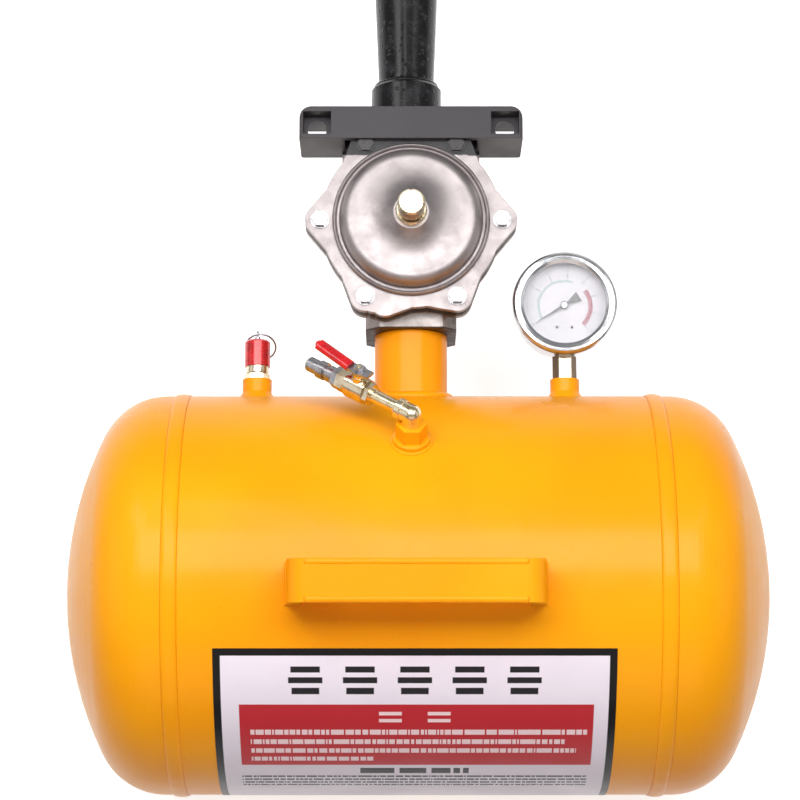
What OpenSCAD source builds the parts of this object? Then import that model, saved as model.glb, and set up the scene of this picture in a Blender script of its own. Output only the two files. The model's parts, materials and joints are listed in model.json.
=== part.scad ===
// Bead seater: a portable air tank with a quick-opening diaphragm valve and a blast barrel.
// Millimetres. X is the tank axis, Y is the direction of the blast, Z is up, and the
// origin is on the floor under the middle of the whole object.

/* [Tank] */
// Outer radius of the tank
tank_r = 130; // [115:1:140]
// Wall thickness of shell and heads
tank_wall = 2.5; // [2:0.5:4]
// Half of the overall tank length
tank_half = 228.5; // [200:0.5:280]
// Straight skirt on each pressed head
head_skirt = 10.7; // [8:0.1:20]
// Crown radius of each head
head_crown_r = 234; // [225:1:250]
// Knuckle radius of each head
head_knuckle_r = 44.2; // [40:0.1:50]
// Clear height of the tank above the floor
ground_gap = 30; // [26:1:45]

/* [Fittings] */
// Place of the neck along the tank axis
neck_x = -4.5; // [-20:0.5:20]
// Spacing from the neck to the gauge and to the safety valve
fitting_pitch = 102.5; // [90:0.5:115]
// Place of the air inlet along the tank axis
inlet_x = -4.6; // [-20:0.5:20]
// Angle of the air inlet above the neck
inlet_angle = 51; // [48:1:60]
// How far the threaded bosses stand out of the tank
boss_rise = 14; // [12:1:18]
// Outer radius of a round boss
boss_r = 9.7; // [9:0.1:11]
// Thread radius inside a boss
thread_r = 5.75; // [5.75:0.05:6.5]

/* [Valve] */
// Outer radius of the neck pipe
neck_r = 24.15; // [21:0.05:25]
// Distance from the tank axis to the valve centre
valve_h = 242; // [236:1:250]
// Radius of the circle through the cover bolts
bolt_circle_r = 60; // [58:0.5:62]
// Radius of the round lobes at the cover bolts
lobe_r = 10; // [9:0.5:11]
// Stroke of the diaphragm
diaphragm_lift = 6; // [3:0.5:6]
// Stroke of the pilot button
button_travel = 4; // [2:0.5:4]

/* [Barrel] */
// Width of the barrel bracket across its two ears
bracket_w = 148; // [140:1:156]
// Spacing of the two ear holes
ear_pitch = 125; // [120:1:128]
// Radius of the ear holes
ear_hole_r = 6.35; // [5:0.05:6.5]
// Outer radius of the barrel pipe
barrel_r = 21.2; // [20:0.1:22]
// How far the barrel is welded off the neck's axis
barrel_offset = -3; // [-3:0.5:3]
// Distance from the tank axis to the end of the round barrel
barrel_end = 610; // [560:5:640]
// Length of the flattened nozzle
nozzle_len = 80; // [70:5:100]

/* [Carry handle] */
// Width of the handle along the tank
handle_w = 156; // [140:1:170]
// Breadth of the handle strap
handle_breadth = 26.5; // [24:0.5:32]
// Outer height of the handle above the tank
handle_rise = 38; // [34:1:45]
// Angle from the neck to the handle
handle_angle = 95.5; // [90:0.5:100]

/* [Gauge] */
// Distance from the tank axis to the gauge centre
gauge_h = 193.7; // [190:0.1:200]
// Outer radius of the gauge bezel
bezel_r = 35.2; // [34:0.1:36]

/* [Label] */
// Width of the label along the tank
label_w = 247; // [220:1:260]
// Angle from the neck to the label's upper edge
label_start = 113; // [110:1:118]
// Angle that the label covers
label_span = 85; // [70:1:90]

/* [Hidden] */
$fn = 96;

tank_yellow = "#F6A51C";
cast_aluminium = "#B9B6B4";
gloss_black = "#1C1B1D";
brass = "#C9A24E";
rubber_black = "#161616";
bright_steel = "#C7C9CB";
lever_red = "#C4141C";

// Tank
head_depth = head_crown_r - sqrt(pow(head_crown_r - head_knuckle_r, 2) - pow(tank_r - head_knuckle_r, 2));
seam_x = tank_half - head_depth - head_skirt;
weld_rise = 1.9;
weld_half_w = 5.25;
weld_arc_r = (weld_half_w * weld_half_w + weld_rise * weld_rise) / (2 * weld_rise);
nozzle_end = barrel_end + nozzle_len;
axis_y = (tank_r + weld_rise - nozzle_end) / 2;
axis_z = tank_r + ground_gap;
gauge_x = neck_x + fitting_pitch;
safety_x = neck_x - fitting_pitch;
boss_top = tank_r + boss_rise;
hex_boss_r = 10;
hex_base_r = 11.8;

// Feet
foot_x = 110;
foot_w = 38;
foot_half_y = 105;
foot_sheet = 3;
pad_h = 6;
pad_r = 15;
pad_y = 86;
foot_screw_r = 2.5;

// Diaphragm valve, with heights along the valve axis measured from the neck axis
socket_end = 173;
pipe_engage = 15;
neck_bore_r = 20.9;
flange_circle_r = 59.5;
lobe_tangent_r = 56;
socket_half = 30;
body_flange_z = [27, 37];
rubber_z = [37, 41];
membrane_top = 39.2;
membrane_thick = 2;
fold_r = 36;
fold_outer = 5;
cover_flange_z = [41, 46];
ring_top_z = 50;
ceiling_z = 54;
dome_top_z = 57.5;
boss_top_z = 66;
cover_rim_r = 51.7;
shoulder_r = 39.5;
shoulder_w = 7.8;
dome_foot_z = 48;
cover_boss_r = 11.6;
dome_power = 2.9;
seat_z = 33;
seat_r = 22.5;
port_r = 18;
chamber_r = 46;
outlet_top = 53;
lobe_angles = [0, 60, 120, 180, 240, 300];
capped_angles = [60, 120];
bolt_head = 4.2;
capped_head = 2.2;
channel_angles = [240, 246, 252.8];
bolt_r = 3;

// Pilot button
housing_flange_z = 70.5;
button_top_z = 88;
button_r = 8.85;
pilot_bore_r = 2.55;

// Barrel bracket, in the valve frame
bracket_y = [54.6, 76.6];
bracket_front = 51.5;
bracket_middle = 45;
ear_back = 8;
ear_web = [34, 38];
ear_inner = 53;
ear_outer = 71.5;
ear_floor = 3;
ear_roof = 3.5;
ear_hole_y = 64.7;
bracket_screw_x = 38;
bracket_top = valve_h + bracket_y[1];
collar_top = 349;
swage = [353, 412];
spigot_r = 18.8;
barrel_wall = 2;
nozzle_flat_r = 11;
nozzle_half_w = 30;

// Ball valve branch, along the branch from the elbow centre
branch_rise = 21.5;
branch_turn = 141.5;
nipple_r = 4.3;
ball_x = 42;
ball_r = 5.6;
ball_port_r = 2.6;
seat_ring_r = 5.4;
plug_tip = 83.5;
stem_r = 1.9;
lever_z = 13.2;
lever_knee = 6.6;
lever_lift = 12;

// Gauge
case_r = 32;
case_back = -14;
lens_z = [12.2, 14.4];
dial_z = 5;
pointer_z = 8;
zero_angle = 212;
pointer_reach = 20;
bezel_lip_r = 27.4;
dial_screw = [5, -14.6];

// Safety valve
cap_base = 153;
cap_top = 170.8;
eye_h = 175.5;
eye_r = 1.9;
eye_wire_r = 0.65;
ring_r = 10;
ring_wire_r = 0.65;
ring_droop = 45;
ring_skew = 10;

// ---- frames ----

// Tank frame: origin at the tank's centre
module tank_frame() translate([0, axis_y, axis_z]) children();

// A radial frame: local z points straight out of the tank at an angle above the neck
module radial(x, angle) tank_frame() translate([x, 0, 0]) rotate([angle - 90, 0, 0]) children();

// Valve frame: x along the tank, y away from the tank, z out through the cover
module valve_frame() radial(neck_x, 0) translate([0, 0, valve_h]) rotate([90, 0, 0]) children();

// Gauge frame: z out through the lens
module gauge_frame() radial(gauge_x, 0) translate([0, 0, gauge_h]) rotate([90, 0, 0]) children();

// Branch frame: x along the ball valve, z along its stem
module branch_frame() radial(inlet_x, inlet_angle) translate([0, 0, tank_r + branch_rise])
    rotate([0, 0, branch_turn]) children();

// Lever frame: turns with the stem of the ball valve
module lever_frame() branch_frame() translate([ball_x, 0, 0]) children();

// ---- shared shapes ----

module along_x(x0, x1, r, sides = 96) translate([x0, 0, 0]) rotate([0, 90, 0])
    cylinder(r = r, h = x1 - x0, $fn = sides);

module along_y(y0, y1, r, sides = 96) translate([0, y0, 0]) rotate([-90, 0, 0])
    cylinder(r = r, h = y1 - y0, $fn = sides);

module along_z(z0, z1, r, sides = 96) translate([0, 0, z0]) cylinder(r = r, h = z1 - z0, $fn = sides);

module tube_z(z0, z1, r, bore) difference() {
    along_z(z0, z1, r);
    along_z(z0 - 1, z1 + 1, bore);
}

module span_box(x, y, z) translate([x[0], y[0], z[0]]) cube([x[1] - x[0], y[1] - y[0], z[1] - z[0]]);

module torus(big, small) rotate_extrude() translate([big, 0]) circle(small, $fn = 48);

module tank_solid() tank_frame() along_x(-tank_half, tank_half, tank_r, 360);

// A rectangle with round corners, centred
module round_rect(w, d, r) {
    square([w - 2 * r, d], center = true);
    square([w, d - 2 * r], center = true);
    for (x = [-1, 1], y = [-1, 1])
        translate([x * (w / 2 - r), y * (d / 2 - r)]) circle(r);
}

// Open coil spring from z0 to z1 with closed ends
function coil_point(r, z0, z1, turns, t) = [r * cos(360 * turns * t), r * sin(360 * turns * t),
    z0 + (z1 - z0) * (t < 0.1 ? 10 * t * t : t > 0.9 ? 1 - 10 * pow(1 - t, 2) : t)];

module coil(r, wire_r, z0, z1, turns) {
    steps = ceil(turns * 16);
    sides = 8;
    path = [for (i = [0 : steps]) coil_point(r, z0 + wire_r, z1 - wire_r, turns, i / steps)];
    ring = [for (i = [0 : steps], k = [0 : sides - 1])
        let (out = [cos(360 * turns * i / steps), sin(360 * turns * i / steps), 0])
        path[i] + wire_r * (cos(360 * k / sides) * out + [0, 0, sin(360 * k / sides)])];
    walls = [for (i = [0 : steps - 1], k = [0 : sides - 1])
        [i * sides + k, (i + 1) * sides + k, (i + 1) * sides + (k + 1) % sides, i * sides + (k + 1) % sides]];
    first = [for (k = [0 : sides - 1]) k];
    last = [for (k = [sides - 1 : -1 : 0]) steps * sides + k];
    polyhedron(points = ring, faces = concat(walls, [first, last]));
}

// ---- tank ----

// Half outline of a dished head, from the middle of the crown to the foot of the knuckle
function head_arcs(crown_r, knuckle_r) = let (
    tangent = asin((tank_r - head_knuckle_r) / (head_crown_r - head_knuckle_r)))
    concat([for (i = [0 : 10]) let (a = tangent * i / 10)
            [crown_r * sin(a), head_depth - head_crown_r + crown_r * cos(a)]],
        [for (i = [1 : 14]) let (a = tangent + (90 - tangent) * i / 14)
            [tank_r - head_knuckle_r + knuckle_r * sin(a), knuckle_r * cos(a)]]);

module head() color(tank_yellow) tank_frame() translate([seam_x + head_skirt, 0, 0]) rotate([0, 90, 0])
    rotate_extrude($fn = 144) {
        outer = head_arcs(head_crown_r, head_knuckle_r);
        inner = head_arcs(head_crown_r - tank_wall, head_knuckle_r - tank_wall);
        polygon(concat(outer, [[tank_r, -head_skirt], [tank_r - tank_wall, -head_skirt]],
            [for (i = [len(inner) - 1 : -1 : 0]) inner[i]]));
    }

module right_head() head();

module left_head() mirror([1, 0, 0]) head();

module tank_shell() color(tank_yellow) difference() {
    tank_frame() along_x(-seam_x, seam_x, tank_r, 144);
    tank_frame() along_x(-seam_x - 1, seam_x + 1, tank_r - tank_wall, 144);
    radial(neck_x, 0) along_z(0, tank_r + 9, neck_bore_r);
    radial(gauge_x, 0) along_z(0, tank_r + 9, thread_r);
    radial(safety_x, 0) along_z(0, tank_r + 9, thread_r);
    radial(inlet_x, inlet_angle) along_z(0, tank_r + 9, thread_r);
    radial(0, -90) along_z(0, tank_r + 9, thread_r);
}

module girth_welds() color(tank_yellow) for (side = [-1, 1])
    tank_frame() translate([side * seam_x, 0, 0]) rotate([0, 90, 0]) rotate_extrude($fn = 144)
        intersection() {
            translate([tank_r + weld_rise - weld_arc_r, 0]) circle(weld_arc_r);
            translate([tank_r, -9]) square([9, 18]);
        }

module neck_pipe() color(tank_yellow) difference() {
    radial(neck_x, 0) tube_z(tank_r - 8, socket_end + pipe_engage, neck_r, neck_bore_r);
    tank_solid();
}

module neck_weld() color(tank_yellow) difference() {
    radial(neck_x, 0) translate([0, 0, tank_r - 8]) cylinder(r1 = neck_r + 8, r2 = neck_r + 1, h = 11);
    radial(neck_x, 0) along_z(tank_r - 9, tank_r + 9, neck_r);
    tank_solid();
}

// A threaded boss welded to the tank
module boss(x, angle, rise, hex = false) color(tank_yellow) difference() {
    radial(x, angle) {
        if (hex) {
            along_z(tank_r - 6, tank_r + rise, hex_boss_r, 6);
            along_z(tank_r - 6, tank_r + 3, hex_base_r);
            translate([0, 0, tank_r + 3]) cylinder(r1 = hex_base_r, r2 = hex_base_r - 1, h = 1);
        }
        if (!hex) {
            along_z(tank_r - 6, tank_r + rise, boss_r);
            translate([0, 0, tank_r - 5]) cylinder(r1 = boss_r + 7, r2 = boss_r, h = 10);
        }
    }
    radial(x, angle) along_z(0, tank_r + rise + 1, thread_r);
    tank_solid();
}

module safety_boss() boss(safety_x, 0, boss_rise);

module gauge_boss() boss(gauge_x, 0, boss_rise);

module inlet_boss() boss(inlet_x, inlet_angle, boss_rise, hex = true);

module drain_boss() boss(0, -90, 8);

module drain_plug() color(brass) radial(0, -90) {
    along_z(tank_r - 4, tank_r + 8, thread_r);
    along_z(tank_r + 8, tank_r + 15, 8, 6);
}

// Side view of the handle strap: a flat bridge on two legs with round bends
module strap_outline(inset, low) {
    bend = 12 - inset;
    half = handle_w / 2 - inset;
    top = tank_r + handle_rise - inset;
    translate([-half, low]) square([2 * half, top - bend - low]);
    translate([-half + bend, low]) square([2 * half - 2 * bend, top - low]);
    for (side = [-1, 1]) translate([side * (half - bend), top - bend]) circle(bend);
}

module carry_handle() color(tank_yellow) difference() {
    radial(-2, handle_angle) rotate([90, 0, 0]) difference() {
        translate([0, 0, -handle_breadth / 2]) linear_extrude(handle_breadth)
            strap_outline(0, tank_r - 6);
        translate([0, 0, -handle_breadth / 2 + 2.5]) linear_extrude(handle_breadth - 5)
            strap_outline(2.5, tank_r - 8);
        translate([0, 0, -handle_breadth]) linear_extrude(2 * handle_breadth)
            strap_outline(8, tank_r - 8);
    }
    tank_solid();
}

// Pressed-steel cradle with a saddle that the tank is welded into
module foot(x) color(tank_yellow) difference() {
    translate([x - foot_w / 2, axis_y, 0]) rotate([90, 0, 90]) difference() {
        linear_extrude(foot_w) polygon([[-foot_half_y, pad_h], [foot_half_y, pad_h], [foot_half_y, 20],
            [80, 60], [-80, 60], [-foot_half_y, 20]]);
        translate([0, 0, foot_sheet]) linear_extrude(foot_w - 2 * foot_sheet)
            translate([-foot_half_y - 1, pad_h + foot_sheet]) square([2 * foot_half_y + 2, 60]);
    }
    tank_solid();
    for (y = [-pad_y, pad_y]) translate([x, axis_y + y, 0]) along_z(-1, 20, foot_screw_r);
}

module left_foot() foot(-foot_x);

module right_foot() foot(foot_x);

module at_pads() for (x = [-foot_x, foot_x], y = [-pad_y, pad_y]) translate([x, axis_y + y, 0]) children();

module foot_pads() color(rubber_black) at_pads() difference() {
    union() {
        cylinder(r1 = pad_r - 1.5, r2 = pad_r, h = 2);
        along_z(2, pad_h, pad_r);
    }
    along_z(-1, 3, 5.6);
    along_z(-1, pad_h + 1, foot_screw_r);
}

module foot_screws() color(bright_steel) at_pads() {
    along_z(1.2, 3, 5);
    along_z(3, 12, foot_screw_r);
    along_z(pad_h + foot_sheet, pad_h + foot_sheet + 4, 4.6, 6);
}

module label() color("#ECE8F2") tank_frame() translate([-2.7 - label_w / 2, 0, 0])
    rotate([label_start, 0, 0]) rotate([90, 0, 90])
    rotate_extrude(angle = label_span, $fn = 180) translate([tank_r, 0]) square([0.3, label_w]);

// ---- diaphragm valve ----

// A lobe that runs tangent from a centre circle to a small circle
module lobe(centre_r, reach, r) {
    phi = acos((centre_r - r) / reach);
    polygon([[centre_r * cos(phi), centre_r * sin(phi)], [reach + r * cos(phi), r * sin(phi)],
        [reach + r * cos(phi), -r * sin(phi)], [centre_r * cos(phi), -centre_r * sin(phi)], [0, 0]]);
    translate([reach, 0]) circle(r);
}

// Outline of the bolted flange, with a wider lobe over the pilot channel
module flange_outline() {
    circle(flange_circle_r);
    for (a = lobe_angles) rotate(a) lobe(lobe_tangent_r, bolt_circle_r, lobe_r);
    for (a = channel_angles) rotate(a) lobe(lobe_tangent_r, bolt_circle_r - 2, lobe_r);
}

module at_bolts() for (a = lobe_angles) rotate([0, 0, a]) translate([bolt_circle_r, 0, 0]) children();

// Square socket with bevelled corners, across the flow axis
module socket_block(y0, y1, half) translate([0, y0, 0]) rotate([-90, 0, 0]) linear_extrude(y1 - y0)
    intersection() {
        square(2 * half, center = true);
        rotate(45) square(2 * half * 1.2, center = true);
    }

module valve_body() color(cast_aluminium) valve_frame() difference() {
    union() {
        translate([0, 0, body_flange_z[0]]) linear_extrude(body_flange_z[1] - body_flange_z[0])
            flange_outline();
        along_z(-20, body_flange_z[0], 52);
        translate([0, 0, -28]) cylinder(r1 = 42, r2 = 52, h = 8);
        socket_block(socket_end - valve_h, -35, socket_half);
        socket_block(30, outlet_top, 25);
        span_box([-46, 46], [41, outlet_top], [-20, 20]);
    }
    difference() {
        along_z(-22, 50, chamber_r);
        along_z(-23, seat_z, seat_r);
        along_y(0, 60, seat_r);
    }
    along_z(-2, 50, port_r);
    sphere(port_r);
    along_y(0, outlet_top + 1, port_r);
    along_y(socket_end - valve_h - 1, socket_end - valve_h + pipe_engage, neck_r);
    along_y(socket_end - valve_h, -30, neck_bore_r);
    at_bolts() along_z(body_flange_z[0] - 1, 50, bolt_r);
    for (side = [-1, 1]) translate([side * bracket_screw_x, 0, 0]) along_y(42, 60, bolt_r);
}

// Arc of the diaphragm's fold, hanging below its upper face
function fold_arc(r, first, last) = [for (i = [0 : 8]) let (a = first + (last - first) * i / 8)
    [fold_r + r * cos(a), membrane_top + r * sin(a)]];

module membrane_profile() {
    lip = asin(membrane_thick / fold_outer);
    polygon(concat([[6.2, membrane_top]], fold_arc(fold_outer - membrane_thick, 180, 360),
        [[45.5, membrane_top], [45.5, membrane_top - membrane_thick]],
        fold_arc(fold_outer, 360 - lip, 180 + lip), [[6.2, membrane_top - membrane_thick]]));
}

module diaphragm() color(rubber_black) valve_frame() {
    difference() {
        translate([0, 0, rubber_z[0]]) linear_extrude(rubber_z[1] - rubber_z[0]) flange_outline();
        along_z(rubber_z[0] - 1, rubber_z[1] + 1, 45);
        at_bolts() along_z(30, 50, bolt_r + 0.2);
    }
    rotate_extrude() membrane_profile();
}

module diaphragm_disc() color(bright_steel) valve_frame() {
    along_z(seat_z + 0.4, rubber_z[0] - 0.4, 21);
    along_z(seat_z + 0.4, 40, 5.9);
    tube_z(rubber_z[0] + 2.4, 40, 17, 5.9);
    tube_z(40, 41.5, 8.5, 6.5);
}

module diaphragm_spring() color(bright_steel) valve_frame() coil(11, 0.8, 40.3, ceiling_z - 0.3, 3.5);

// Half section of the cover: a rolled rim, a round shoulder and a dome that sweeps up to its boss
module cover_profile() polygon(concat(
    [[0, ceiling_z], [43, ceiling_z], [43, cover_flange_z[0]], [cover_rim_r, cover_flange_z[0]],
        [cover_rim_r, ring_top_z - 1], [cover_rim_r - 1, ring_top_z], [cover_rim_r - 2, ring_top_z - 0.6],
        [cover_rim_r - 2.8, dome_foot_z - 0.4]],
    [for (i = [0 : 10]) let (a = 90 * i / 10)
        [shoulder_r + shoulder_w * cos(a), dome_foot_z + (dome_top_z - dome_foot_z) * sin(a)]],
    [for (i = [1 : 16]) let (t = i / 16)
        [shoulder_r + (cover_boss_r - shoulder_r) * t,
            dome_top_z + (boss_top_z - dome_top_z) * pow(t, dome_power)]],
    [[0, boss_top_z]]));

module valve_cover() color(cast_aluminium) valve_frame() difference() {
    union() {
        translate([0, 0, cover_flange_z[0]]) linear_extrude(cover_flange_z[1] - cover_flange_z[0])
            difference() {
                flange_outline();
                circle(50);
            }
        rotate_extrude($fn = 144) cover_profile();
    }
    along_z(ceiling_z - 1, boss_top_z + 1, 7);
    at_bolts() along_z(40, 50, bolt_r + 0.2);
}

// The two bolts under the barrel bracket have low heads
module cover_bolts() color(bright_steel) valve_frame() {
    at_bolts() {
        along_z(body_flange_z[0] + 1, cover_flange_z[1], bolt_r);
        along_z(cover_flange_z[1], cover_flange_z[1] + 0.8, 6.2);
    }
    bolt_heads([0, 180, 240, 300], bolt_head);
    bolt_heads(capped_angles, capped_head);
}

module bolt_heads(angles, tall) for (a = angles) rotate([0, 0, a]) translate([bolt_circle_r, 0, 0])
    along_z(cover_flange_z[1] + 0.8, cover_flange_z[1] + 0.8 + tall, 5.6, 6);

module pilot_housing() color(brass) valve_frame() difference() {
    union() {
        along_z(boss_top_z, housing_flange_z - 1, 10.35);
        translate([0, 0, housing_flange_z - 1]) cylinder(r1 = 10.35, r2 = 9.3, h = 1);
        along_z(ceiling_z, boss_top_z, 7);
    }
    along_z(ceiling_z + 4, housing_flange_z + 1, 6.1);
    along_z(ceiling_z - 1, ceiling_z + 5, pilot_bore_r);
}

module pilot_button() color(brass) valve_frame() {
    translate([0, 0, button_top_z - 1.2]) cylinder(r1 = button_r, r2 = button_r - 1.2, h = 1.2);
    along_z(housing_flange_z + button_travel + 0.8, button_top_z - 1.2, button_r);
    along_z(ceiling_z + 13, housing_flange_z + button_travel + 0.8, 6);
    along_z(ceiling_z - 3, ceiling_z + 13, 2.5);
}

module pilot_poppet() color(rubber_black) valve_frame() tube_z(ceiling_z - 3, ceiling_z - 0.4, 5, 2.5);

module pilot_spring() color(bright_steel) valve_frame() coil(4.3, 0.45, ceiling_z + 4.1, ceiling_z + 12.9, 4.5);

// ---- barrel ----

module outlet_gasket() color(rubber_black) valve_frame() difference() {
    span_box([-46, 46], [outlet_top, bracket_y[0]], [-20, 20]);
    along_y(outlet_top - 1, bracket_y[0] + 1, port_r);
    for (side = [-1, 1]) translate([side * bracket_screw_x, 0, 0]) along_y(50, 60, bolt_r);
}

// Plan of the bracket: a deep middle that carries the barrel, and two ears with a pocket on each side
module bracket_plan() {
    translate([0, (bracket_front - 26) / 2]) round_rect(2 * bracket_middle, bracket_front + 26, 2.5);
    translate([0, (bracket_front + ear_back) / 2]) round_rect(bracket_w, bracket_front - ear_back, 2.5);
}

// Front view of the bracket, with round upper corners
module bracket_front_view() {
    tall = bracket_y[1] - bracket_y[0];
    translate([-bracket_w / 2, bracket_y[0]]) square([bracket_w, tall - 8]);
    translate([-bracket_w / 2 + 8, bracket_y[0]]) square([bracket_w - 16, tall]);
    for (side = [-1, 1]) translate([side * (bracket_w / 2 - 8), bracket_y[1] - 8]) circle(8);
}

module bracket_ear_cut(side) {
    ear_x = side > 0 ? [ear_inner, ear_outer] : [-ear_outer, -ear_inner];
    pocket_y = [bracket_y[0] + ear_floor, bracket_y[1] - ear_roof];
    span_box(ear_x, pocket_y, [ear_web[1], bracket_front + 1]);
    span_box(ear_x, pocket_y, [ear_back - 1, ear_web[0]]);
    translate([side * ear_pitch / 2, ear_hole_y, 0]) along_z(ear_web[0] - 1, ear_web[1] + 1, ear_hole_r);
    translate([side * bracket_screw_x, 0, 0]) {
        along_y(50, 80, bolt_r);
        along_y(bracket_y[1] - 6.4, 80, 5.2);
    }
}

module barrel_bracket() color(gloss_black) valve_frame() difference() {
    intersection() {
        translate([0, bracket_y[0], 0]) rotate([-90, 0, 0]) linear_extrude(bracket_y[1] - bracket_y[0])
            mirror([0, 1]) bracket_plan();
        translate([0, 0, -30]) linear_extrude(90) bracket_front_view();
    }
    for (side = [-1, 1]) bracket_ear_cut(side);
    span_box([-44, 44], [bracket_y[0] - 1, 64], [body_flange_z[0] - 0.6, cover_flange_z[1] + 0.5]);
    for (a = capped_angles) rotate([0, 0, a]) translate([bolt_circle_r, 0, 0])
        along_z(40, cover_flange_z[1] + 1.4 + capped_head, 7);
    along_y(50, 80, port_r);
}

module bracket_screws() color(gloss_black) valve_frame() for (side = [-1, 1])
    translate([side * bracket_screw_x, 0, 0]) difference() {
        union() {
            along_y(43, bracket_y[1] - 6.4, bolt_r);
            along_y(bracket_y[1] - 6.4, bracket_y[1] - 0.4, 5);
        }
        along_y(bracket_y[1] - 3.4, 80, 2.9, 6);
    }

module barrel_collar() color(gloss_black) radial(neck_x + barrel_offset, 0) difference() {
    union() {
        along_z(bracket_top, collar_top - 3, 23.7);
        translate([0, 0, collar_top - 3]) cylinder(r1 = 23.7, r2 = 21.2, h = 3);
        translate([0, 0, bracket_top]) cylinder(r1 = 26.5, r2 = 23.7, h = 3);
    }
    along_z(bracket_top + 4, collar_top + 1, spigot_r);
    along_z(bracket_top - 1, collar_top, port_r - 1.2);
}

module barrel_profile(inset) polygon([[0, bracket_top + 4], [spigot_r - inset, bracket_top + 4],
    [spigot_r - inset, swage[0]], [barrel_r - inset, swage[1]], [barrel_r - inset, barrel_end],
    [0, barrel_end]]);

module barrel_pipe() color(gloss_black) radial(neck_x + barrel_offset, 0) rotate_extrude() difference() {
    barrel_profile(0);
    translate([0, -0.01]) scale([1, 1.0001]) barrel_profile(barrel_wall);
}

// Round at the barrel, flat at the mouth
module nozzle_solid(inset, over) {
    flat = nozzle_flat_r - inset;
    hull() {
        along_z(barrel_end - over, barrel_end - over + 0.1, barrel_r - inset, 40);
        for (side = [-1, 1]) translate([side * (nozzle_half_w - nozzle_flat_r), 0, 0])
            along_z(nozzle_end - 32, nozzle_end - 31.9, flat, 40);
    }
    for (side = [-1, 1]) translate([side * (nozzle_half_w - nozzle_flat_r), 0, 0])
        along_z(nozzle_end - 32, nozzle_end + over, flat);
    translate([0, 0, (2 * nozzle_end - 32 + over) / 2])
        cube([2 * (nozzle_half_w - nozzle_flat_r), 2 * flat, 32 + over], center = true);
}

module nozzle() color(gloss_black) radial(neck_x + barrel_offset, 0) difference() {
    nozzle_solid(0, 0);
    nozzle_solid(barrel_wall, 0.5);
}

// ---- inlet branch ----

module inlet_elbow() color(brass) branch_frame() difference() {
    union() {
        along_z(-branch_rise - 2, boss_rise - branch_rise, thread_r);
        along_z(boss_rise - branch_rise, 0, 6.2);
        sphere(6.2);
        along_x(0, 9, 6.2);
        along_x(6, 10, 6.8);
        along_x(10, ball_x - 6.8, nipple_r);
    }
    along_z(-40, 0, ball_port_r);
    sphere(ball_port_r);
    along_x(0, 40, ball_port_r);
}

// A hexagon across the branch, from x0 to x1
module branch_hex(x0, x1, r) translate([x0, 0, 0]) rotate([0, 90, 0]) rotate([0, 0, 30])
    cylinder(r = r, h = x1 - x0, $fn = 6);

module ball_valve_body() color(brass) branch_frame() difference() {
    union() {
        branch_hex(31, 37, 7.6);
        along_x(35, 49, 8.2);
        along_x(49, 51, 7);
        branch_hex(51, 57, 7.6);
        translate([ball_x, 0, 0]) along_z(0, 10.4, 4.6);
    }
    along_x(30, 36, nipple_r);
    along_x(29, 56, ball_port_r);
    along_x(52, 58, 3.9);
    translate([ball_x, 0, 0]) sphere(ball_r + 0.35);
    along_x(ball_x - 6.5, ball_x + 6.5, seat_ring_r);
    translate([ball_x, 0, 0]) along_z(0, 12, stem_r + 0.08);
}

module ball_seats() color("white") branch_frame() difference() {
    union() {
        along_x(ball_x - 6.5, ball_x - 3.4, seat_ring_r);
        along_x(ball_x + 3.4, ball_x + 6.5, seat_ring_r);
    }
    along_x(30, 60, ball_port_r);
    translate([ball_x, 0, 0]) sphere(ball_r + 0.1);
}

module ball() color(bright_steel) lever_frame() difference() {
    sphere(ball_r);
    along_x(-8, 8, ball_port_r);
    span_box([-4, 4], [-1.1, 1.1], [4.2, 6]);
}

module valve_stem() color(brass) lever_frame() {
    span_box([-1.6, 1.6], [-0.9, 0.9], [4.6, 6.6]);
    along_z(6.2, lever_z, stem_r);
    along_z(lever_z, lever_z + 4.6, 1.5);
}

module packing_nut() color(brass) lever_frame() tube_z(10.4, 12.4, 4.2, stem_r + 0.08);

// The lever lies along the open valve and rises away from it
module lever_slope() translate([lever_knee, 0, lever_z]) rotate([0, -lever_lift, 0]) children();

module lever() color(bright_steel) lever_frame() difference() {
    union() {
        along_z(lever_z, lever_z + 1.8, 5);
        span_box([-9, lever_knee + 0.3], [-3.6, 3.6], [lever_z, lever_z + 1.8]);
        lever_slope() span_box([0, 26], [-2.6, 2.6], [0, 1.8]);
    }
    along_z(lever_z - 1, lever_z + 5, 1.5);
}

module lever_sleeve() color(lever_red) lever_frame() lever_slope() difference() {
    union() {
        translate([0.6, 0, 0.9]) rotate([0, 90, 0]) linear_extrude(25.8) round_rect(5, 8, 2.4);
        translate([26.4, 0, 0.9]) sphere(2.5);
    }
    span_box([0, 26], [-2.6, 2.6], [0, 1.8]);
}

module lever_nut() color(bright_steel) lever_frame() difference() {
    along_z(lever_z + 1.8, lever_z + 4, 3.4, 6);
    along_z(lever_z, lever_z + 6, 1.5);
}

module quick_plug() color(bright_steel) branch_frame() difference() {
    union() {
        along_x(52.4, 57, 3.9);
        branch_hex(57, 61, 7.2);
        along_x(61, 66, 5.4);
        along_x(66, 69, 4.4);
        along_x(69, 74, 5.8);
        along_x(74, plug_tip - 1.2, 4.8);
        translate([plug_tip - 1.2, 0, 0]) rotate([0, 90, 0]) cylinder(r1 = 4.8, r2 = 4, h = 1.2);
    }
    along_x(50, 95, ball_port_r);
}

// ---- gauge ----

module gauge_stem() color(brass) gauge_frame() difference() {
    union() {
        along_y(-gauge_h + tank_r + 2, boss_top - gauge_h, thread_r);
        along_y(boss_top - gauge_h, -33.6, 8, 6);
        along_y(-33.6, 1 - case_r, 6);
        along_y(-case_r, -26, 4.4);
        span_box([-7, 5.2], [-27, -17], [-11, 1]);
    }
    along_y(-70, -21, 2);
}

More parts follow.
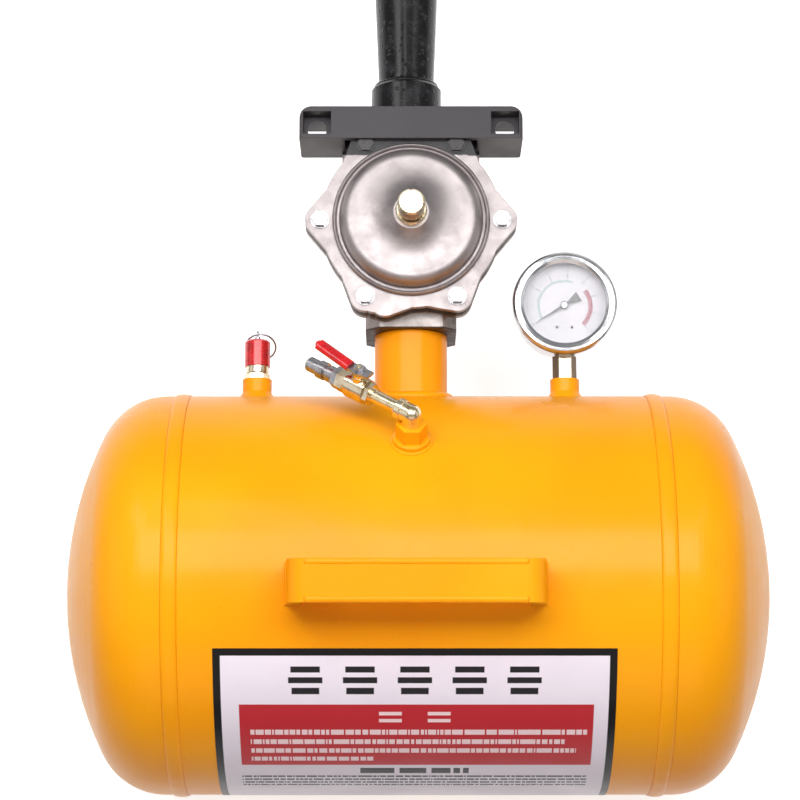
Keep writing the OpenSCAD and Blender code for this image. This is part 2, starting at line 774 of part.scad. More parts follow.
module gauge_case() color(bright_steel) gauge_frame() difference() {
    along_z(case_back, lens_z[0], case_r);
    along_z(case_back + 1, lens_z[0] + 1, case_r - 1);
    along_y(-40, 0, 6);
    translate([0, 0, -6]) along_y(20, 40, 3);
}

module gauge_bezel() color(bright_steel) gauge_frame() rotate_extrude($fn = 144)
    polygon([[case_r, 6], [bezel_r - 1.4, 6], [bezel_r - 0.4, 7], [bezel_r, 9], [bezel_r, 13.6],
        [bezel_r - 0.6, 15.4], [bezel_r - 2, 16.5], [bezel_r - 3.6, 16.8], [bezel_r - 5.6, 16.3],
        [bezel_lip_r + 0.4, 15.2], [bezel_lip_r, lens_z[1]], [case_r, lens_z[1]]]);

module gauge_lens() color([0.9, 0.95, 1, 0.35]) gauge_frame() along_z(lens_z[0], lens_z[1], case_r);

module at_dial_screws() for (side = [-1, 1]) translate([side * dial_screw[0], dial_screw[1], 0]) children();

module gauge_dial() color("white") gauge_frame() difference() {
    union() {
        tube_z(dial_z, dial_z + 0.8, 30.8, 2.4);
        at_dial_screws() along_z(case_back + 1, dial_z + 0.4, 1.2);
    }
    at_dial_screws() along_z(dial_z - 7, dial_z + 1, 0.6);
}

module dial_screws() color(gloss_black) gauge_frame() at_dial_screws() {
    along_z(dial_z - 6.5, dial_z + 0.8, 0.6);
    along_z(dial_z + 0.8, dial_z + 1.3, 1);
}

module gauge_movement() color(brass) gauge_frame() difference() {
    union() {
        span_box([-8, 8], [-12, 10], [-10, -8.4]);
        span_box([-8, 8], [-12, 10], [-1.6, 0]);
        for (x = [-6, 6], y = [-10, 8]) translate([x, y, 0]) along_z(case_back + 1, -1.6, 1.4);
        tube_z(-8.4, -1.6, 3, 1.55);
    }
    along_z(-12, 2, 1.55);
}

module bourdon_tube() color(brass) gauge_frame() {
    rotate([0, 0, -75]) rotate_extrude(angle = 250) translate([22, -5]) difference() {
        round_rect(3, 8, 1.4);
        round_rect(2, 7, 0.9);
    }
    span_box([5.2, 7.2], [-22.4, -17], [-8.6, -1.4]);
}

module gauge_pointer() color("black") gauge_frame() {
    along_z(-8, pointer_z, 1.5);
    along_z(pointer_z - 1, pointer_z + 1, 2.6);
    rotate([0, 0, zero_angle]) translate([0, 0, pointer_z]) linear_extrude(0.7)
        polygon([[pointer_reach, 0.2], [0, 0.9], [-3.5, 0.9], [-11.5, 3.4], [-11.5, -3.4], [-3.5, -0.9],
            [0, -0.9], [pointer_reach, -0.2]]);
}

module gauge_vent_plug() color(rubber_black) gauge_frame() translate([0, 0, -6]) difference() {
    union() {
        along_y(29.5, 33, 3);
        along_y(case_r, case_r + 2, 4.6);
    }
    along_z(-20, 20, case_r - 2);
}

// ---- safety valve ----

module safety_body() color(brass) radial(safety_x, 0) difference() {
    union() {
        along_z(tank_r + 3, boss_top, thread_r);
        along_z(boss_top, boss_top + 3.6, 8.4, 6);
        along_z(boss_top + 3.6, boss_top + 4.6, 6.2);
        along_z(boss_top + 4.6, cap_base, 7.6);
        along_z(cap_base, cap_base + 9, 6.2);
    }
    along_z(tank_r + 8, cap_base + 10, 4.6);
    along_z(tank_r, tank_r + 9, 2.4);
}

module safety_cap() color(lever_red) radial(safety_x, 0) difference() {
    union() {
        along_z(cap_base, cap_top - 1.2, 8.5);
        translate([0, 0, cap_top - 1.2]) cylinder(r1 = 8.5, r2 = 7.3, h = 1.2);
    }
    along_z(cap_base - 1, cap_base + 9, 6.2);
    along_z(cap_base - 1, cap_top - 3, 4.6);
    along_z(cap_base, cap_top + 1, 1.9);
}

module safety_stem() color(bright_steel) radial(safety_x, 0) {
    along_z(tank_r + 8.4, tank_r + 11, 4.2);
    along_z(tank_r + 11, eye_h - eye_r, 1.8);
    translate([0, 0, eye_h]) rotate([0, 90, 0]) torus(eye_r, eye_wire_r);
}

module safety_spring() color(bright_steel) radial(safety_x, 0)
    coil(3.2, 0.6, tank_r + 11.2, cap_top - 3.2, 8);

module pull_ring() color(bright_steel) radial(safety_x, 0) translate([0, 0, eye_h])
    rotate([-ring_droop, 0, 0]) rotate([0, 0, -ring_skew]) translate([0, ring_r, 0])
    torus(ring_r, ring_wire_r);

tank_shell();
left_head();
right_head();
girth_welds();
neck_pipe();
neck_weld();
safety_boss();
gauge_boss();
inlet_boss();
drain_boss();
drain_plug();
carry_handle();
left_foot();
right_foot();
foot_pads();
foot_screws();
label();
valve_body();
valve_cover();
diaphragm();
diaphragm_disc();
diaphragm_spring();
cover_bolts();
pilot_housing();
pilot_button();
pilot_poppet();
pilot_spring();
outlet_gasket();
barrel_bracket();
bracket_screws();
barrel_collar();
barrel_pipe();
nozzle();
inlet_elbow();
ball_valve_body();
ball_seats();
ball();
valve_stem();
packing_nut();
lever();
lever_sleeve();
lever_nut();
quick_plug();
gauge_stem();
gauge_case();
gauge_bezel();
gauge_lens();
gauge_dial();
dial_screws();
gauge_movement();
bourdon_tube();
gauge_pointer();
gauge_vent_plug();
safety_body();
safety_cap();
safety_stem();
safety_spring();
pull_ring();
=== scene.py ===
"""Looks of the bead seater tank: finishes, weld beads, nozzle, dial print, studio and camera.

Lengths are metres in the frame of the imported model: X is the tank's axis, Y the direction of the
blast and Z up.
"""

import json
import math

import bmesh
import bpy
from mathutils import Matrix, Vector, noise
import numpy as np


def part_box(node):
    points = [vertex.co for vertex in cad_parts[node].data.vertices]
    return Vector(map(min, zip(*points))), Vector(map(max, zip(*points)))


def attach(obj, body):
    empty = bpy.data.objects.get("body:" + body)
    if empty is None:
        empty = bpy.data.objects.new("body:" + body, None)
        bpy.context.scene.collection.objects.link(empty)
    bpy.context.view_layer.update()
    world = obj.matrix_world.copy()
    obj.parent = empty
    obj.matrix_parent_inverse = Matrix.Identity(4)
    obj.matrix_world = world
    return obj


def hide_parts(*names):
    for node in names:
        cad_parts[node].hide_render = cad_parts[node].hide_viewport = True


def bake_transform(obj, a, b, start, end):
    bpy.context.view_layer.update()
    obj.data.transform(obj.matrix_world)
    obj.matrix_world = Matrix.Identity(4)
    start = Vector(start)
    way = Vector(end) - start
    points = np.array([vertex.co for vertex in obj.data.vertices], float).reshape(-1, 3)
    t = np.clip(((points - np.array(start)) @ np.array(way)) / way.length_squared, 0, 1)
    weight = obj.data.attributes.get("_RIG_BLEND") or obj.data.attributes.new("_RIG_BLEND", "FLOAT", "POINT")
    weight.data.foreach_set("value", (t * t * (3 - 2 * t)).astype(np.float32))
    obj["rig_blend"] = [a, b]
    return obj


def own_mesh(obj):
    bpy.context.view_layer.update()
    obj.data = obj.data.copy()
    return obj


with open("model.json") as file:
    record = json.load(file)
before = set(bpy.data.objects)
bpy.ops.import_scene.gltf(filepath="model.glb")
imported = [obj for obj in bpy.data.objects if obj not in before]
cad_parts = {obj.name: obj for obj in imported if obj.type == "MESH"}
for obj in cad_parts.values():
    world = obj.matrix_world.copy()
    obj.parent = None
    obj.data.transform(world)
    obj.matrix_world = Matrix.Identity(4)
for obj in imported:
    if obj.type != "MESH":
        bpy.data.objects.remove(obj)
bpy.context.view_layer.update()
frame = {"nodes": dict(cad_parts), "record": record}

MM = 0.001
ROOT = "tank"

# Angles round the tank, in degrees: 0 faces the blast and 90 is the top.
HANDLE_AT = 95.5
INLET_AT = 51
LABEL_START = 113.0
LABEL_SPAN = 85.0


# ---- places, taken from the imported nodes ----

def centre(node):
    low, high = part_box(node)
    return (low + high) / 2


def size(node):
    low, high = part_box(node)
    return high - low


TANK = centre("left_head")
TANK_R = size("left_head").z / 2
NECK_X = centre("neck_pipe").x
BARREL_X = centre("barrel_pipe").x
NECK_R = size("neck_pipe").x / 2
SEAM_X = centre("tank_shell").x + size("tank_shell").x / 2
VALVE = Vector((NECK_X, centre("pilot_button").y, TANK.z))
GAUGE = Vector((centre("gauge_bezel").x, centre("gauge_bezel").y, TANK.z))


def radial(x, degrees):
    """Frame on the tank: local x lies along the tank, local z points straight out of it."""
    turn = math.radians(degrees)
    out = Vector((0, math.cos(turn), math.sin(turn)))
    side = Vector((0, math.sin(turn), -math.cos(turn)))
    axes = Matrix((Vector((1, 0, 0)), side, out)).transposed()
    return Matrix.Translation((x, TANK.y, TANK.z)) @ axes.to_4x4()


def outward(point):
    """Direction from the tank's axis to a point."""
    return Vector((0, point.y - TANK.y, point.z - TANK.z)).normalized()


def circle(steps):
    """Angles of even steps round a full turn."""
    return [2 * math.pi * i / steps for i in range(steps)]


def smooth(share):
    """Soft curve from 0 to 1 that is flat at both ends."""
    return share * share * (3 - 2 * share)


def add_object(name, data):
    thing = bpy.data.objects.new(name, data)
    bpy.context.scene.collection.objects.link(thing)
    return thing


# ---- materials ----

def linear(code):
    """Linear colour of a web colour such as FBA919."""
    parts = [int(code[i:i + 2], 16) / 255 for i in (0, 2, 4)]
    return (*[c / 12.92 if c < 0.04045 else ((c + 0.055) / 1.055) ** 2.4 for c in parts], 1.0)


class Finish:
    """A Principled material that is built with short calls."""

    def __init__(self, name, values):
        self.material = bpy.data.materials.new(name)
        self.material.use_nodes = True
        tree = self.material.node_tree
        self.nodes = tree.nodes
        self.links = tree.links
        self.shader = self.nodes["Principled BSDF"]
        self.fill(self.shader, values)
        self.place = self.nodes.new("ShaderNodeTexCoord").outputs["Object"]

    def fill(self, node, values):
        for key, value in values.items():
            if isinstance(value, bpy.types.NodeSocket):
                self.links.new(value, node.inputs[key])
            else:
                node.inputs[key].default_value = value

    def add(self, kind, values, **settings):
        node = self.nodes.new(kind)
        for key, value in settings.items():
            setattr(node, key, value)
        self.fill(node, values)
        return node

    def calc(self, operation, a, b=0.0):
        return self.add("ShaderNodeMath", {0: a, 1: b}, operation=operation).outputs[0]

    def noise(self, scale, detail=2.0, roughness=0.5, place=None):
        values = {"Vector": place or self.place, "Scale": scale, "Detail": detail,
                  "Roughness": roughness}
        return self.add("ShaderNodeTexNoise", values).outputs["Fac"]

    def cells(self, scale):
        """Distance to the nearest of many scattered points."""
        values = {"Vector": self.place, "Scale": scale}
        return self.add("ShaderNodeTexVoronoi", values).outputs["Distance"]

    def spread(self, value, start, end, low=0.0, high=1.0):
        """Maps start..end to low..high with a soft curve and holds it outside."""
        values = {"Value": value, "From Min": start, "From Max": end, "To Min": low, "To Max": high}
        node = self.add("ShaderNodeMapRange", values, interpolation_type="SMOOTHSTEP")
        return node.outputs["Result"]

    def blend(self, factor, a, b):
        node = self.nodes.new("ShaderNodeMix")
        node.data_type = "RGBA"
        self.fill(node, {0: factor, 6: a, 7: b})
        return node.outputs[2]

    def bump(self, height, distance, below=None):
        values = {"Height": height, "Distance": distance, "Strength": 1.0}
        if below:
            values["Normal"] = below
        return self.add("ShaderNodeBump", values).outputs["Normal"]

    def from_point(self, point):
        """Object coordinates measured from a point, split into x, y and z."""
        moved = self.add("ShaderNodeVectorMath", {0: self.place, 1: point}, operation="SUBTRACT")
        parts = self.add("ShaderNodeSeparateXYZ", {0: moved.outputs[0]})
        return parts.outputs[0], parts.outputs[1], parts.outputs[2]

    def reach(self, x, y):
        """Distance from the axis that x and y are measured from."""
        squares = self.calc("ADD", self.calc("MULTIPLY", x, x), self.calc("MULTIPLY", y, y))
        return self.calc("SQRT", squares)

    def inside(self, value, low, high, soft):
        """1 between low and high, 0 outside, with edges that are soft wide."""
        above = self.spread(value, low - soft, low + soft)
        under = self.spread(value, high - soft, high + soft, 1.0, 0.0)
        return self.calc("MULTIPLY", above, under)

    def rounded_edge(self, radius):
        """Normals that turn softly over sharp edges."""
        return self.add("ShaderNodeBevel", {"Radius": radius}, samples=4).outputs["Normal"]

    def blotches(self):
        """Where plated metal has gone dull."""
        return self.spread(self.noise(110.0, 5.0, 0.7), 0.4, 0.72)

    def sheen(self, low, high):
        """Uneven roughness of plated metal."""
        return self.spread(self.noise(240.0, 4.0), 0.3, 0.7, low, high)

    def grain(self, scale=300.0):
        """Fine grain of plated metal, over rounded edges."""
        return self.bump(self.noise(scale, 3.0), 0.00002, self.rounded_edge(0.0003))

    def wire(self, values):
        """Joins the finished values to the shader."""
        self.fill(self.shader, values)
        return self.material


def tank_paint():
    """Yellow enamel over slightly uneven sheet, with grime and rare rust specks."""
    values = {"Specular IOR Level": 0.12, "Coat Weight": 0.08, "Coat Roughness": 0.14}
    paint = Finish("yellow enamel", values)
    broad = paint.spread(paint.noise(7.0, 3.0), 0.35, 0.65)
    colour = paint.blend(broad, linear("FB9E08"), linear("FEA70C"))
    grime = paint.spread(paint.noise(55.0, 6.0, 0.7), 0.62, 0.82, 0.0, 0.35)
    colour = paint.blend(grime, colour, linear("E88A08"))
    specks = paint.spread(paint.cells(330.0), 0.05, 0.1, 1.0, 0.0)
    rare = paint.spread(paint.noise(38.0, 1.0), 0.58, 0.66, 0.0, 0.7)
    specks = paint.calc("MULTIPLY", specks, rare)
    colour = paint.blend(specks, colour, linear("8A5208"))
    sheet = paint.bump(paint.noise(16.0, 2.0), 0.0009, paint.rounded_edge(0.0007))
    peel = paint.bump(paint.noise(520.0, 2.0), 0.00003, sheet)
    gloss = paint.spread(paint.noise(21.0, 4.0, 0.6), 0.3, 0.7, 0.27, 0.36)
    return paint.wire({"Base Color": colour, "Roughness": gloss, "Normal": peel})


def black_paint():
    """Dusty black enamel, glossier on the barrel, with painted sheen as a lighter grey on the bracket, and
    weld spatter above the bracket.
    """
    values = {"Specular IOR Level": 0.22, "Coat Weight": 0.1, "Coat Roughness": 0.2}
    paint = Finish("black enamel", values)
    dust = paint.spread(paint.noise(60.0, 6.0, 0.7), 0.5, 0.8, 0.0, 0.5)
    _, along, _ = paint.from_point(VALVE)
    pipe_start, pipe_full = 0.0768, 0.078
    pipe = paint.spread(along, pipe_start, pipe_full)
    # Painted sheen: the bracket's lighter grey stands in for the light its face reflects.
    base = paint.blend(pipe, linear("454246"), linear("141315"))
    colour = paint.blend(dust, base, linear("4A474B"))
    near_weld = paint.inside(along, 0.085, 0.155, 0.02)
    drops = paint.spread(paint.cells(210.0), 0.12, 0.3, 1.0, 0.0)
    drops = paint.calc("MULTIPLY", drops, paint.calc("MULTIPLY", near_weld, paint.noise(45.0)))
    spatter = paint.bump(drops, 0.0012, paint.rounded_edge(0.0009))
    peel = paint.bump(paint.noise(420.0, 2.0), 0.00005, spatter)
    patchy = paint.spread(paint.noise(30.0, 5.0, 0.65), 0.3, 0.7, 0.0, 0.12)
    bracket_gloss, pipe_gloss = 0.42, 0.17
    gloss = paint.spread(pipe, 0.0, 1.0, bracket_gloss, pipe_gloss)
    gloss = paint.calc("ADD", patchy, gloss)
    return paint.wire({"Base Color": colour, "Roughness": gloss, "Normal": peel})


def cast_skin(metal, base):
    """Pitted, sand-cast surface over a normal."""
    grain = metal.bump(metal.noise(850.0, 4.0, 0.6), 0.00012, base)
    pits = metal.spread(metal.cells(600.0), 0.1, 0.28)
    return metal.bump(pits, 0.00007, grain)


def cast_aluminium():
    """Bare casting, with painted shade on the socket's end towards the tank and on the flange's side, where
    the dark is partly painted shade and partly its own dark edge.
    """
    metal = Finish("cast aluminium", {"Metallic": 1.0})
    stain = metal.spread(metal.noise(70.0, 6.0, 0.7), 0.42, 0.75)
    colour = metal.blend(stain, linear("A8A09D"), linear("7D7673"))
    _, along, height = metal.from_point(VALVE)
    # Painted shade, in part: the flange's side is darkened for the shade on it, and in part for its own dark
    # edge.
    flange_side_shade = metal.spread(height, 0.0315, 0.0325)
    # Painted shade: the socket's end towards the tank is darkened for the shade that falls on it.
    socket_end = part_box("valve_body")[0].y - VALVE.y
    painted_shade_end = metal.spread(along, socket_end + 0.0003, socket_end + 0.001, 1.0, 0.0)
    dark = metal.calc("MAXIMUM", flange_side_shade, painted_shade_end)
    # The dark colour under both masks is painted shade.
    colour = metal.blend(dark, colour, linear("4B4645"))
    gloss = metal.spread(metal.noise(160.0, 4.0), 0.3, 0.7, 0.42, 0.58)
    surface = cast_skin(metal, metal.rounded_edge(0.0008))
    return metal.wire({"Base Color": colour, "Roughness": gloss, "Normal": surface})


def cover_aluminium():
    """Satin pressing, with black paint over its edge under the bracket."""
    metal = Finish("cover aluminium", {})
    x, y, _ = metal.from_point(VALVE)
    reach = metal.reach(x, y)
    stain = metal.spread(metal.noise(48.0, 7.0, 0.72), 0.4, 0.78)
    bright = metal.blend(stain, linear("A79F9F"), linear("8E8586"))
    brush = 0.0012
    wander = metal.spread(metal.noise(120.0, 3.0), 0.0, 1.0, -brush, brush)
    ragged = metal.calc("ADD", y, wander)
    forward = metal.spread(ragged, 0.0438, 0.0448)
    rim = metal.spread(reach, 0.0522, 0.0528)
    painted = metal.calc("MULTIPLY", forward, rim)
    colour = metal.blend(painted, bright, linear("262427"))
    plain = metal.calc("SUBTRACT", 1.0, painted)
    ring_pitch = 0.0009
    rings = metal.calc("SINE", metal.calc("MULTIPLY", reach, 2 * math.pi / ring_pitch))
    turned = metal.bump(rings, 0.0000025, metal.rounded_edge(0.0007))
    grain = metal.bump(metal.noise(700.0, 3.0), 0.00003, turned)
    gloss = metal.spread(metal.noise(90.0, 5.0, 0.65), 0.3, 0.7, 0.42, 0.54)
    values = {"Base Color": colour, "Metallic": plain, "Roughness": gloss, "Normal": grain}
    return metal.wire(values)


def plain_metal(name, light, dark, rough, grain_scale=300.0):
    """Bare or plated metal: two tones in blotches, with fine grain."""
    metal = Finish(name, {"Metallic": 1.0})
    colour = metal.blend(metal.blotches(), linear(light), linear(dark))
    gloss = metal.sheen(rough * 0.85, rough * 1.25)
    grain = metal.grain(grain_scale)
    return metal.wire({"Base Color": colour, "Roughness": gloss, "Normal": grain})


def zinc_plate():
    """Zinc plate, with black paint on the two bolts under the bracket."""
    metal = Finish("zinc plate", {})
    tone = metal.blotches()
    _, along, _ = metal.from_point(VALVE)
    painted = metal.spread(along, 0.04, 0.042)
    colour = metal.blend(tone, linear("BDBCC0"), linear("8F8E90"))
    colour = metal.blend(painted, colour, linear("302D2F"))
    gloss = metal.sheen(0.26, 0.37)
    grain = metal.grain()
    plain = metal.calc("SUBTRACT", 1.0, painted)
    values = {"Base Color": colour, "Metallic": plain, "Roughness": gloss, "Normal": grain}
    return metal.wire(values)


def nickel_brass():
    """Nickel over brass, rougher on the flanks of the gauge's stem, where painted shade darkens it brown."""
    metal = Finish("nickel on brass", {"Metallic": 1.0})
    colour = metal.blend(metal.blotches(), linear("E6D9BE"), linear("C3AC86"))
    across, _, _ = metal.from_point(GAUGE)
    aside = metal.calc("ABSOLUTE", across)
    flank_start = metal.spread(aside, 0.0034, 0.0046)
    flank_end = metal.spread(aside, 0.0085, 0.009, 1.0, 0.0)
    # Painted shade: the flanks of the gauge's stem turn dark brown for the shade on them; they are also made
    # rougher.
    dull_and_shaded = metal.calc("MULTIPLY", flank_start, flank_end)
    colour = metal.blend(dull_and_shaded, colour, linear("6E5A48"))
    gloss = metal.sheen(0.17, 0.25)
    rough = metal.calc("ADD", gloss, metal.calc("MULTIPLY", dull_and_shaded, 0.25))
    grain = metal.grain()
    return metal.wire({"Base Color": colour, "Roughness": rough, "Normal": grain})


def black_rubber():
    """Matt rubber with a grey bloom."""
    rubber = Finish("black rubber", {"Specular IOR Level": 0.35})
    bloom = rubber.spread(rubber.noise(90.0, 5.0, 0.7), 0.45, 0.75, 0.0, 0.6)
    colour = rubber.blend(bloom, linear("171718"), linear("2B2A2B"))
    surface = rubber.bump(rubber.noise(900.0, 3.0), 0.00005)
    gloss = rubber.spread(rubber.noise(200.0), 0.3, 0.7, 0.55, 0.75)
    return rubber.wire({"Base Color": colour, "Roughness": gloss, "Normal": surface})


def red_skin(name, bright, deep, rough, metallic):
    """Red coating that is thinner and lighter in places."""
    coat = Finish(name, {"Coat Weight": 0.5, "Coat Roughness": 0.1, "Metallic": metallic})
    thin = coat.spread(coat.noise(140.0, 4.0, 0.6), 0.35, 0.7)
    colour = coat.blend(thin, linear(bright), linear(deep))
    wobble = coat.bump(coat.noise(260.0, 2.0), 0.0001, coat.rounded_edge(0.0005))
    gloss = coat.spread(coat.noise(300.0, 3.0), 0.3, 0.7, rough * 0.8, rough * 1.3)
    return coat.wire({"Base Color": colour, "Roughness": gloss, "Normal": wobble})


def seat_plastic():
    """White plastic of the ball's seats."""
    plastic = Finish("white seats", {"Subsurface Weight": 0.1})
    colour = plastic.blend(plastic.noise(150.0, 4.0), linear("F1F0EA"), linear("DDDAD0"))
    turned = plastic.bump(plastic.noise(600.0), 0.00003)
    gloss = plastic.noise(90.0)
    return plastic.wire({"Base Color": colour, "Roughness": gloss, "Normal": turned})


def gauge_glass():
    """Clear lens with a white haze towards its edge that is painted reflection, and faint smears."""
    values = {"Base Color": linear("F4F8FB"), "Coat Weight": 1.0, "Coat Roughness": 0.02}
    glass = Finish("gauge glass", values)
    edge = glass.add("ShaderNodeFresnel", {"IOR": 1.5}).outputs[0]
    smear = glass.spread(glass.noise(45.0, 5.0, 0.7), 0.45, 0.8, 0.02, 0.1)
    # Painted reflection: the white base shows more at grazing angles and stands in for the light the glass
    # reflects.
    cover = glass.spread(edge, 0.03, 0.6, 0.1, 0.7)
    alpha = glass.calc("ADD", cover, glass.calc("MULTIPLY", smear, 0.3))
    return glass.wire({"Alpha": alpha, "Roughness": smear})


def dial_face():
    """Off-white enamel of the dial."""
    face = Finish("dial enamel", {"Specular IOR Level": 0.4})
    shade = face.spread(face.noise(60.0, 4.0, 0.6), 0.3, 0.75)
    colour = face.blend(shade, linear("DDD8DE"), linear("D2CCD4"))
    tooth = face.bump(face.noise(1500.0), 0.00001)
    gloss = face.spread(face.noise(220.0), 0.3, 0.7, 0.35, 0.5)
    return face.wire({"Base Color": colour, "Roughness": gloss, "Normal": tooth})


def pointer_black():
    """Matt black, with a bright cap where the shaft comes through."""
    coat = Finish("pointer black", {})
    x, y, _ = coat.from_point(GAUGE)
    cap = coat.spread(coat.reach(x, y), 0.0017, 0.002, 1.0, 0.0)
    dust = coat.spread(coat.noise(900.0, 3.0), 0.4, 0.8, 0.0, 0.4)
    colour = coat.blend(dust, linear("101012"), linear("2A2A2D"))
    colour = coat.blend(cap, colour, linear("E4E4E6"))
    gloss = coat.spread(coat.noise(500.0), 0.3, 0.7, 0.35, 0.5)
    return coat.wire({"Base Color": colour, "Metallic": cap, "Roughness": gloss})


def ink(name, code):
    """Screen-printed ink on the dial."""
    coat = Finish(name, {"Specular IOR Level": 0.3})
    worn = coat.spread(coat.noise(700.0, 3.0), 0.4, 0.8, 0.0, 0.25)
    colour = coat.blend(worn, linear(code), linear("F0ECF0"))
    gloss = coat.spread(coat.noise(300.0), 0.3, 0.7, 0.4, 0.55)
    return coat.wire({"Base Color": colour, "Roughness": gloss})


class Print(Finish):
    """Ink areas on the sticker, in millimetres: u runs along the tank and v down around it."""

    def __init__(self, name):
        values = {"Specular IOR Level": 0.2, "Coat Weight": 0.12, "Coat Roughness": 0.1}
        super().__init__(name, values)
        low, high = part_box("label")
        self.width = (high.x - low.x) / MM
        x, y, z = self.from_point(Vector((low.x, TANK.y, TANK.z)))
        around = self.calc("ARCTAN2", z, y)
        past_back = self.calc("LESS_THAN", around, 0.0)
        around = self.calc("ADD", around, self.calc("MULTIPLY", past_back, 2 * math.pi))
        start = math.radians(LABEL_START)
        self.u = self.calc("DIVIDE", x, MM)
        self.v = self.calc("MULTIPLY", self.calc("SUBTRACT", around, start), TANK_R / MM)

    def patch(self, u0, u1, v0, v1, soft=0.25):
        """A filled rectangle."""
        columns = self.inside(self.u, u0, u1, soft)
        rows = self.inside(self.v, v0, v1, soft)
        return self.calc("MULTIPLY", columns, rows)

    def dashes(self, u0, u1, v0, v1, pitch, fill, seed):
        """A row of short bars of uneven length, like a line of small print seen from afar."""
        row = self.patch(u0, u1, v0, v1, 0.2)
        step = self.calc("DIVIDE", self.u, pitch)
        at = self.add("ShaderNodeCombineXYZ", {0: step, 1: seed}).outputs[0]
        value = self.noise(1.0, 0.0, 0.0, at)
        return self.calc("MULTIPLY", row, self.spread(value, fill - 0.02, fill + 0.02, 1.0, 0.0))


def label_print():
    """A generic notice, laid out in millimetres.

    It has a black border, title marks, a red panel with light rows, and small dark rows.
    """
    sheet = Print("label print")
    wide = sheet.width
    tall = math.radians(LABEL_SPAN) * TANK_R / MM
    border = 4.6
    white = sheet.blend(sheet.noise(40.0, 4.0), linear("F3EAF5"), linear("E9DFEC"))
    field = sheet.patch(border, wide - border, border, tall - border)
    colour = sheet.blend(field, linear("0A080B"), white)
    dark, red = linear("1B181E"), linear("C02A33")
    columns, column_pitch = 5, 33.5
    title_rows = ((11.5, 15.5, 9.0), (18.6, 22.6, 10.5), (25.7, 30.2, 8.5))
    for k in range(columns):
        middle = wide / 2 + (k - 2) * column_pitch
        for v0, v1, half in title_rows:
            mark = sheet.patch(middle - half, middle + half, v0, v1)
            colour = sheet.blend(mark, colour, dark)
    colour = sheet.blend(sheet.patch(15.5, wide - 13.5, 37.5, 91.0), colour, red)
    pale = linear("F6D9DD")
    for side in (-1, 1):
        middle = wide / 2 + side * 15.0
        for v0, v1 in ((43.0, 45.6), (48.4, 51.0)):
            mark = sheet.patch(middle - 7.0, middle + 7.0, v0, v1)
            colour = sheet.blend(mark, colour, pale)
    for row, end in enumerate((0.955, 0.9, 0.93, 0.42)):
        top = 57.0 + 8.3 * row
        bars = sheet.dashes(22.0, wide * end - 6, top, top + 4.2, 1.5, 0.58, 3.0 * row + 1)
        colour = sheet.blend(bars, colour, pale)
    title = sheet.dashes(wide / 2 - 34, wide / 2 + 34, 94.6, 101.4, 5.0, 0.6, 40.0)
    colour = sheet.blend(title, colour, dark)
    for row in range(4):
        top = 104.6 + 4.6 * row
        bars = sheet.dashes(15.0, wide - 15, top, top + 2.4, 1.4, 0.6, 50.0 + row)
        colour = sheet.blend(bars, colour, linear("332F38"))
    film = sheet.bump(sheet.noise(60.0, 3.0), 0.00025)
    gloss = sheet.spread(sheet.noise(35.0, 4.0), 0.3, 0.7, 0.3, 0.42)
    return sheet.wire({"Base Color": colour, "Roughness": gloss, "Normal": film})


FINISHES = {
    "tank_paint": tank_paint(),
    "black_paint": black_paint(),
    "cast_aluminium": cast_aluminium(),
    "cover_aluminium": cover_aluminium(),
    "zinc_steel": zinc_plate(),
    "polished_steel": plain_metal("polished steel", "DEDFE2", "CFD0D4", 0.2, 900.0),
    "spring_steel": plain_metal("spring steel", "A9A8A8", "7F7D7B", 0.32),
    "brass": plain_metal("turned brass", "F4E6C6", "DCC391", 0.24),
    "nickel_brass": nickel_brass(),
    "black_rubber": black_rubber(),
    "red_vinyl": red_skin("red vinyl", "D8141C", "B30D16", 0.3, 0.0),
    "red_anodised": red_skin("red lacquer", "D62024", "B01218", 0.25, 0.35),
    "seat_plastic": seat_plastic(),
    "gauge_glass": gauge_glass(),
    "dial_face": dial_face(),
    "pointer_black": pointer_black(),
    "label_print": label_print(),
}


def dress_cad_nodes():
    """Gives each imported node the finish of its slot."""
    slot_of = {part["node"]: part["material_slot"] for part in frame["record"]["subparts"]}
    for name, node in frame["nodes"].items():
        node.data.materials.clear()
        node.data.materials.append(FINISHES[slot_of[name]])


# ---- soft pieces ----

def soft_copy(node, name):
    """A piece with a copy of a node's shape, which hides the node."""
    source = frame["nodes"][node]
    piece = add_object(name, source.data.copy())
    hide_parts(node)
    return piece


def springs():
    """A copy of each spring on the tank in place of its node; the joint, travel, axis and fixed end in the
    table are not used.
    """
    along_z, along_y = (0, 0, 1), (0, 1, 0)
    low_end, high_end = 0, 1
    for node, joint, travel, axis, fixed in (
            ("diaphragm_spring", "diaphragm_lift", 6 * MM, along_z, high_end),
            ("pilot_spring", "button_press", 4 * MM, along_z, low_end),
            ("safety_spring", "relief_lift", 3 * MM, along_y, high_end)):
        coil = soft_copy(node, node + "_coil")
        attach(coil, ROOT)
        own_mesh(coil)


def moulded_diaphragm():
    """The flat rubber follows the disc, its rim stays under the cover and its fold gives.

    The shares are then set again by distance from the valve's axis, because the rubber is
    round.
    """
    rubber = soft_copy("diaphragm", "moulded_diaphragm")
    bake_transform(rubber, ROOT, "diaphragm_disc", VALVE + Vector((42 * MM, 0, 0)), VALVE)
    outer, inner = 41 * MM, 33 * MM
    shares = rubber.data.attributes["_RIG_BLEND"].data
    for vertex, share in zip(rubber.data.vertices, shares):
        reach = math.hypot(vertex.co.x - VALVE.x, vertex.co.y - VALVE.y)
        share.value = smooth(min(max((outer - reach) / (outer - inner), 0.0), 1.0))


# ---- mesh pieces ----

